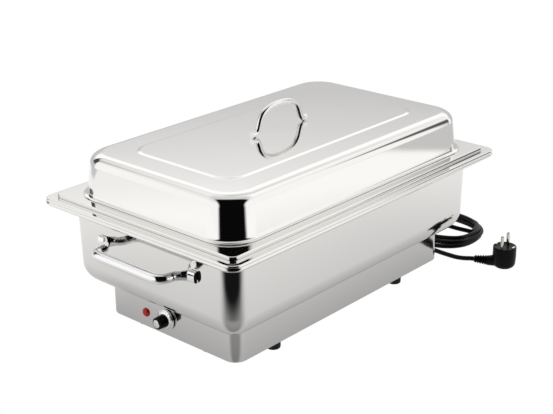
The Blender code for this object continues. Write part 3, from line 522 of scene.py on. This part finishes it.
def make_relief():
    """The ribbed strain relief in the base's rear wall."""
    length = 0.0290
    profile = [(0, length), (0.0046, length), (0.0049, length - 0.0004)]
    for rib in range(6):
        height = length - 0.0030 - rib * 0.0038
        radius = 0.0050 + rib * 0.00052
        profile += [(radius, height + 0.0018), (radius, height), (radius - 0.0010, height - 0.0002),
                    (radius - 0.0008, height - 0.0014)]
    profile += [(0.0086, 0.0036), (0.0108, 0.0034), (0.0115, 0.0028), (0.0115, 0.0), (0.0079, 0.0),
                (0.0079, -0.0100), (0, -0.0100)]
    return turned("strain_relief", profile, (GLAND_X, BASE_REAR + 0.0003, GLAND_Z), (0, 1, 0), 48)


def make_cords_and_plug():
    cord, length = make_cord()
    place_piece(cord, "base", "cord_rubber", "power_cord_lead_in", "power_cord_coil", "power_cord_lead_out")
    shell = place_piece(make_plug(), "base", "plug_plastic", "plug_body")
    neck = place_piece(make_plug_neck(), "base", "plug_plastic", "plug_body")
    relief = place_piece(make_relief(), "base", "cord_rubber", "cord_strain_relief")


def make_lid():
    profile = round_profile([
        (LID_FOOT_HALF, LID_FOOT, 0, 0.046),
        (LID_FOOT_HALF, LID_FOOT + 0.0010, 0.0005, 0.046),
        (0.1457, LID_FOOT + 0.0024, 0.0050, 0.0440),
        (0.1397, LID_TOP, 0.0165, 0.0425, 0.0320),
        (PANEL_HALF + 0.0024, LID_TOP, 0.0022, 0.0300),
        (PANEL_HALF - 0.0012, LID_TOP + PANEL_RISE, 0.0022, 0.0280),
        (0.0300, LID_TOP + PANEL_RISE, 0, 0.004),
    ], 14)
    return pressed_sheet("lid_skin", profile, steps=28)


def make_pan():
    profile = round_profile([
        (PAN_HALF, PAN_TOP - PAN_EDGE, 0, 0.0105),
        (PAN_HALF, PAN_TOP, 0.0015, 0.0105),
        (0.1425, PAN_TOP, 0.0030, 0.0460),
        (0.1398, PAN_FLOOR, 0.0140, 0.0430, 0.0330),
        (0.0300, PAN_FLOOR, 0, 0.008),
    ])
    return pressed_sheet("pan_skin", profile, steps=20)


def make_tub():
    profile = round_profile([
        (RIM_HALF - 0.0016, RIM_TOP - 0.0084, 0, RIM_CORNER - 0.0010),
        (RIM_HALF + 0.0002, RIM_TOP - 0.0060, 0.0016, RIM_CORNER),
        (RIM_HALF - 0.0017, RIM_TOP - 0.0040, 0.0006, RIM_CORNER - 0.0010),
        (RIM_HALF - 0.0009, RIM_TOP - 0.0018, 0.0012, RIM_CORNER - 0.0010),
        (RIM_HALF - 0.0020, RIM_TOP, 0.0014, RIM_CORNER - 0.0020),
        (0.1503, RIM_TOP, 0.0036, 0.0260),
        (0.1478, TUB_FLOOR, 0.0360, 0.0256, 0.0080),
        (0.0300, TUB_FLOOR, 0, 0.004),
    ], 12)
    return pressed_sheet("tub_skin", profile, steps=22)


def cut_holes(obj):
    """The holes for the thermostat's bush, the pilot lamp and the cord."""
    for x, y, z, radius in ((KNOB_X, BASE_FRONT, KNOB_Z, 0.0050), (LAMP_X, BASE_FRONT, LAMP_Z, 0.0052),
                            (GLAND_X, BASE_REAR, GLAND_Z, 0.0083)):
        bm = bmesh.new()
        bmesh.ops.create_cone(bm, cap_ends=True, segments=48, radius1=radius, radius2=radius, depth=0.008)
        bmesh.ops.transform(bm, matrix=Matrix.Translation((x, y, z)) @ Matrix.Rotation(math.pi / 2, 4, "X"),
                            verts=bm.verts)
        mesh = bpy.data.meshes.new("hole")
        bm.to_mesh(mesh)
        bm.free()
        cutter = add_object("hole", mesh)
        modifier = obj.modifiers.new("hole", "BOOLEAN")
        modifier.operation = "DIFFERENCE"
        modifier.object = cutter
        bpy.context.view_layer.objects.active = obj
        for done in [m.name for m in obj.modifiers]:
            with bpy.context.temp_override(object=obj, active_object=obj, selected_objects=[obj]):
                bpy.ops.object.modifier_apply(modifier=done)
        bpy.data.objects.remove(cutter, do_unlink=True)
    obj.data.shade_smooth()
    obj.data.set_sharp_from_angle(angle=math.radians(35))


def make_base():
    profile = round_profile([
        (BASE_HALF - 0.0080, BASE_BOTTOM, 0, 0.009),
        (BASE_HALF, BASE_BOTTOM, 0.0016, 0.017),
        (BASE_HALF, BASE_TOP, 0.0016, 0.017),
        (BASE_HALF - 0.0100, BASE_TOP, 0, 0.007),
    ], 8)
    return pressed_sheet("base_skin", profile, 0.0010, False, BASE_CENTRE_Y, 18, cut_holes)


def make_side_handle(side):
    """A round bar whose two ends are pressed flat against the wall, and taller than they are thick."""
    wall = 0.1500 + LONGER + SHEET + 0.0003
    grip = 0.2900 - wall
    grip_radius, end_radius = 0.0067, 0.0058
    foot_start, foot_length = 0.0700, 0.0080
    thin_start, thin_length, thinner = 0.0640, 0.0130, 0.14
    taller, flat_thickness = 0.35, 0.0056
    guide = [(0.000, grip), (0.025, grip), (0.046, grip - 0.0001), (0.0555, grip - 0.0016),
             (0.0610, grip - 0.0064), (0.0632, grip - 0.0130), (0.0648, grip - 0.0200), (0.0690, 0.0102),
             (0.0725, 0.0080), (0.0770, 0.0063), (0.0830, 0.0058), (0.0895, 0.0058)]
    half = smooth_path([(x, side * (wall + off), HANDLE_Z) for x, off in guide], 6)
    path = [Vector((-p.x, p.y, p.z)) for p in reversed(half)] + half[1:]
    shares = [min(max(0.0, (abs(p.x) - thin_start) / thin_length), 1.0) for p in path]
    radii = [grip_radius * (1 - thinner * share) for share in shares]
    bar = tube_mesh("handle_front_bar" if side < 0 else "handle_rear_bar", path, radii, 40)
    for vertex in bar.data.vertices:
        share = min(max((abs(vertex.co.x) - foot_start) / foot_length, 0.0), 1.0)
        off = Vector(((side * vertex.co.y - wall) / end_radius - 1, (vertex.co.z - HANDLE_Z) / end_radius))
        squarer = off.length / max((off.x ** 4 + off.y ** 4) ** 0.25, 1e-6) - 1
        vertex.co.z += (vertex.co.z - HANDLE_Z) * (taller + squarer * 0.8) * share
        away = (off.x + 1) * end_radius
        pressed = max(off.x, 0) * (1 + squarer * 0.5) * flat_thickness
        vertex.co.y = side * (wall + away + (pressed - away) * share)
    return bar


def make_lid_handle():
    top = LID_TOP + PANEL_RISE
    half_bow = [(0.0000, 0.0380), (0.0120, 0.0372), (0.0240, 0.0345), (0.0330, 0.0296), (0.0385, 0.0225),
                (0.0415, 0.0150), (0.0440, 0.0085), (0.0475, 0.0052), (0.0560, 0.0047)]
    half = smooth_path([(0, y, top + z) for y, z in half_bow], 6)
    path = [Vector((0, -p.y, p.z)) for p in reversed(half)] + half[1:]
    return tube_mesh("lid_bow", path, [0.0040] * len(path), 32)


def make_feet():
    top = BASE_BOTTOM - 0.0003
    for name in ("foot_1", "foot_2", "foot_3", "foot_4"):
        low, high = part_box(name)
        foot = turned(name + "_rubber", [
            (0.0024, top + 0.0010), (0.0060, top + 0.0010), (0.0060, top), (0.0096, top),
            (0.0100, top - 0.0004), (0.0099, 0.0022), (0.0096, 0.0008), (0.0090, 0.0001), (0.0086, 0.0),
            (0.0052, 0.0), (0.0050, 0.0002), (0.0050, 0.0050), (0.0024, 0.0060),
        ], ((low[0] + high[0]) / 2, (low[1] + high[1]) / 2, 0), steps=48)
        place_piece(foot, "base", "foot_rubber", name)


def make_knob():
    dial_back = BASE_FRONT - 0.0013
    dial = turned("dial", [
        (0.0042, 0.0047), (0.0098, 0.0047), (0.0101, 0.0046), (0.0138, 0.0030), (0.0145, 0.0024),
        (0.0148, 0.0018), (0.0148, 0.0005), (0.0146, 0.0001), (0.0142, 0.0), (0.0042, 0.0),
    ], (KNOB_X, dial_back, KNOB_Z), (0, -1, 0))
    place_piece(dial, "knob", "dial_metal", "knob_skirt")
    grip = turned("knob_grip", [
        (0, 0.0122), (0.0076, 0.0122), (0.0080, 0.0120), (0.0082, 0.0116), (0.0092, 0.0004),
        (0.0091, 0.0), (0.0038, 0.0), (0.0038, 0.0088), (0, 0.0088),
    ], (KNOB_X, dial_back - 0.0050, KNOB_Z), (0, -1, 0))
    place_piece(grip, "knob", "knob_plastic", "knob_body")
    cap = turned("knob_button", [
        (0, 0.0012), (0.0047, 0.0012), (0.0053, 0.0010), (0.0056, 0.0006), (0.0056, 0.0), (0, 0.0),
    ], (KNOB_X, dial_back - 0.0175, KNOB_Z), (0, -1, 0))
    place_piece(cap, "knob", "chrome", "knob_cap", look="satin_chrome")


def make_lamp():
    lens = turned("lamp_lens_cap", [
        (0, 0.0034), (0.0018, 0.0033), (0.0035, 0.0029), (0.0050, 0.0021), (0.0058, 0.0013),
        (0.0062, 0.0006), (0.0063, 0.0), (0.0047, 0.0), (0.0047, -0.0090), (0, -0.0090),
    ], (LAMP_X, BASE_FRONT - 0.0003, LAMP_Z), (0, -1, 0))
    place_piece(lens, "base", "lamp_lens", "pilot_lens")


def dress_cad_nodes():
    """Every CAD node that still shows gets the material of its slot."""
    slots = {row["node"]: row["material_slot"] for row in frame["record"]["subparts"]}
    for name, obj in frame["nodes"].items():
        obj.data.materials.clear()
        obj.data.materials.append(MATERIALS[slots[name]])


# ---------------------------------------------------------------- studio

CAMERA_SIDE = (0.667, -0.745, 0)   # the level direction from the object to the camera
CAMERA_RIGHT = (0.745, 0.667, 0)


def make_world():
    """Softboxes left, right and above, a pale back wall with a dark patch at each end, and a dark room
    behind the camera.
    """
    room_brightness = 0.003
    world = bpy.data.worlds.new("studio")
    bpy.context.scene.world = world
    world.use_nodes = True
    shade = Shading(world.node_tree)
    direction = shade.node("ShaderNodeTexCoord", {}, "Generated")
    height = shade.node("ShaderNodeSeparateXYZ", {0: direction}, "Z")
    forward = shade.vector("DOT_PRODUCT", direction, CAMERA_SIDE, 1)
    lateral = shade.vector("DOT_PRODUCT", direction, CAMERA_RIGHT, 1)
    side = shade.ramp(height, [(-0.20, 1.10), (0.40, 1.12), (0.57, 1.02), (0.70, 0.90), (0.87, 0.74),
                               (1.0, 0.80)])
    back = shade.ramp(height, [(0.0, 0.60), (0.28, 0.66), (0.31, 0.78), (0.342, 0.92), (0.40, 1.18),
                               (0.71, 1.22), (0.87, 1.0), (1.0, 0.80)])
    far_right = shade.ramp(height, [(-0.20, 0.66), (0.08, 0.62), (0.20, 0.12), (0.40, 0.10), (0.47, 1.0),
                                    (0.70, 1.20), (1.0, 0.80)])
    brightness = shade.mix(shade.fade(forward, -0.55, -0.72, 0.0, 1.0), side, back)
    in_far_right = shade.math("MULTIPLY", shade.fade(lateral, 0.0, 0.2, 0.0, 1.0),
                              shade.math("MULTIPLY", shade.fade(forward, -0.172, -0.205, 0.0, 1.0),
                                         shade.fade(forward, -0.45, -0.38, 0.0, 1.0)))
    brightness = shade.mix(in_far_right, brightness, far_right)
    far_left = shade.ramp(height, [(-0.20, 0.62), (0.14, 0.60), (0.27, 0.08), (0.56, 0.06), (0.68, 0.90),
                                   (0.75, 1.05), (1.0, 0.80)])
    in_far_left = shade.math("MULTIPLY", shade.fade(lateral, -0.2, 0.0, 1.0, 0.0),
                             shade.math("MULTIPLY", shade.fade(forward, -0.20, -0.30, 0.0, 1.0),
                                        shade.fade(forward, -0.68, -0.58, 0.0, 1.0)))
    brightness = shade.mix(in_far_left, brightness, far_left)
    off_middle = shade.math("ABSOLUTE", shade.math("SUBTRACT", lateral, 0.09))
    room = shade.math("MULTIPLY", shade.fade(forward, 0.02, 0.22, 0.0, 1.0),
                      shade.fade(off_middle, 0.60, 0.74, 1.0, 0.0))
    brightness = shade.mix(room, brightness, room_brightness)
    shade.only_seen_by_camera("ShaderNodeBackground", 1.0, brightness, "ShaderNodeOutputWorld")


def make_floor():
    """A white table that glows; in reflections its glow carries painted shade, darker near the object and
    towards the dark room.
    """
    bm = bmesh.new()
    bmesh.ops.create_circle(bm, cap_ends=True, segments=96, radius=1.5)
    mesh = bpy.data.meshes.new("floor")
    bm.to_mesh(mesh)
    bm.free()
    material = bpy.data.materials.new("floor")
    material.use_nodes = True
    shade = Shading(material.node_tree)
    place = shade.node("ShaderNodeTexCoord", {}, "Object")
    beyond = shade.vector("MAXIMUM", shade.vector("SUBTRACT", shade.vector("ABSOLUTE", place),
                                                  (BASE_HALF, BASE_HALF + LONGER, 0)), (0, 0, 0))
    away = shade.vector("LENGTH", beyond, (0, 0, 0), 1)
    # painted shade: in reflections the glow is darker close to the base, standing in for the object's shadow on
    # the table
    painted_shade_near_base = shade.node("ShaderNodeMapRange", {0: away, 1: 0.0, 2: 0.12, 3: 0.48, 4: 0.72})
    middle = shade.node("ShaderNodeMapRange", {0: away, 1: 0.12, 2: 0.34, 3: 0.0, 4: 0.20})
    far = shade.node("ShaderNodeMapRange", {0: away, 1: 0.34, 2: 0.8, 3: 0.0, 4: 0.22})
    lit = shade.math("ADD", painted_shade_near_base, shade.math("ADD", middle, far))
    # painted shade: the glow is darker towards the table's far edges
    lit = shade.math("MULTIPLY", lit, shade.fade(shade.node("ShaderNodeSeparateXYZ", {0: place}, "Y"),
                                                 0.94, 1.00, 1.0, 0.57))
    lit = shade.math("MULTIPLY", lit, shade.fade(shade.node("ShaderNodeSeparateXYZ", {0: place}, "X"),
                                                 -0.90, -0.55, 0.90, 1.0))
    lit = shade.math("MULTIPLY", lit, shade.fade(shade.node("ShaderNodeSeparateXYZ", {0: place}, "X"),
                                                 -1.03, -0.97, 0.64, 1.0))
    # painted shade in front of the near corner: grey close by and nearly black further out, towards the dark
    # room
    from_corner = shade.vector("SUBTRACT", place, (0.120, -0.225, 0))
    forward = shade.vector("DOT_PRODUCT", from_corner, CAMERA_SIDE, 1)
    across = shade.vector("DOT_PRODUCT", shade.vector("NORMALIZE", from_corner), CAMERA_RIGHT, 1)
    edge = shade.fade(shade.math("ABSOLUTE", across), 0.42, 1.04, 0.0, 1.0)
    reach = shade.vector("LENGTH", from_corner, (0, 0, 0), 1)
    off_middle = shade.math("ABSOLUTE", shade.math("SUBTRACT", across, 0.10))
    edge = shade.mix(shade.fade(reach, 0.50, 0.90, 0.0, 1.0), shade.math("MULTIPLY", edge, edge),
                     shade.fade(off_middle, 0.62, 0.74, 0.0, 1.0))
    front = shade.node("ShaderNodeMapRange", {0: forward, 1: 0.0, 2: 0.10, 3: 0.24, 4: 0.33})
    front = shade.mix(shade.fade(forward, 0.14, 0.25, 0.0, 1.0), front, 0.008)
    in_front = shade.math("MULTIPLY", shade.math("SUBTRACT", 1.0, edge),
                          shade.fade(forward, 0.0, 0.02, 0.0, 1.0))
    lit = shade.mix(in_front, lit, front)
    shade.only_seen_by_camera("ShaderNodeEmission", 1.0, lit, "ShaderNodeOutputMaterial")
    mesh.materials.append(material)
    add_object("floor", mesh)


make_camera()
MATERIALS = make_materials()
make_cords_and_plug()
dress_cad_nodes()
place_piece(make_lid(), "lid", "lid_steel", "lid_shell")
place_piece(make_lid_handle(), "lid", "chrome", "lid_handle", look="satin_chrome")
place_piece(make_pan(), "pan", "pan_steel", "food_pan")
place_piece(make_tub(), "base", "tub_steel", "water_tub")
place_piece(make_base(), "base", "base_steel", "base_housing")
place_piece(make_side_handle(-1), "base", "chrome", "handle_front")
place_piece(make_side_handle(1), "base", "chrome", "handle_rear")
make_feet()
make_knob()
make_lamp()
make_world()
make_floor()
bpy.context.scene.view_settings.view_transform = "Standard"
